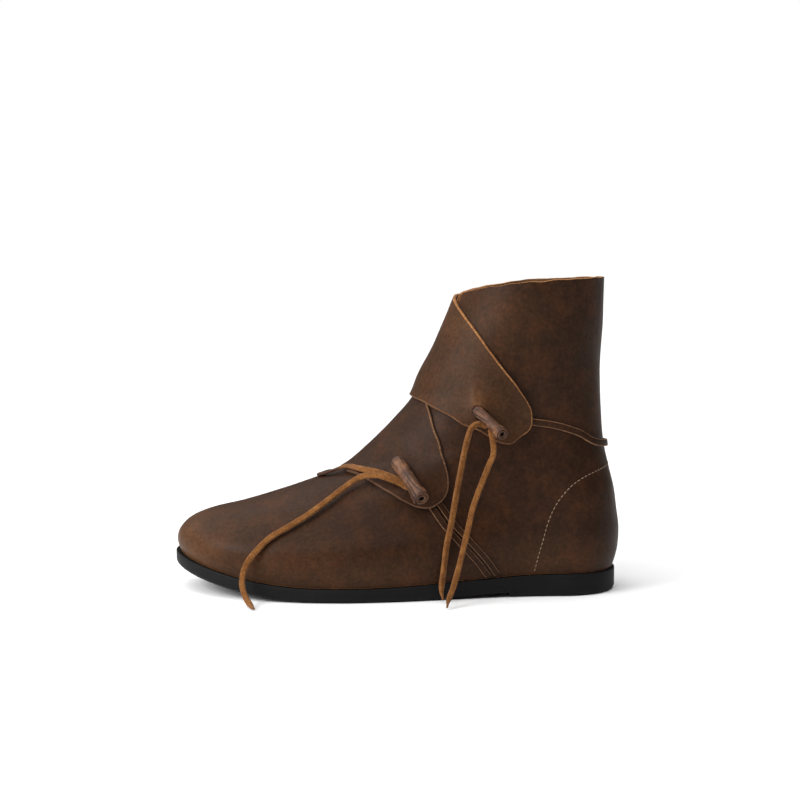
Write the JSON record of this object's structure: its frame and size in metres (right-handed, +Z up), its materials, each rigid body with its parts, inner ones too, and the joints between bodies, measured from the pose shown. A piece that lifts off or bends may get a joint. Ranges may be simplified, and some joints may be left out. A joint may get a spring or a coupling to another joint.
{
  "type": "viking boot",
  "caption": "Low leather wrap boot on a thin rubber sole, with two side flaps held by rolled toggles and leather thongs.",
  "frame": {"origin": "on the floor below the ball of the foot, at half the boot's length, on the line from heel to toe", "axes": "+Z up; +X from toe to heel; -Y towards the outer side of the left foot"},
  "size_m": [0.2798, 0.1223, 0.196],
  "materials": {
    "sole_rubber": "moulded, matt",
    "sock_leather": "smooth lining leather",
    "oiled_leather": "oiled pull-up leather, soft sheen",
    "rolled_leather": "rolled strip of oiled leather",
    "strap_leather": "oiled strap, cut edges paler",
    "suede_thong": "suede side out, fibrous"
  },
  "bodies": {
    "root": {"outsole": "sole_rubber", "insole": "sock_leather", "upper": "oiled_leather", "instep_toggle": "rolled_leather", "ankle_toggle": "rolled_leather", "ankle_thong": "strap_leather", "instep_thong": "suede_thong", "sole_strap_front": "strap_leather", "sole_strap_rear": "strap_leather", "instep_thong_end": "suede_thong", "ankle_thong_end_front": "suede_thong", "ankle_thong_end_rear": "suede_thong"}
  },
  "joints": []
}
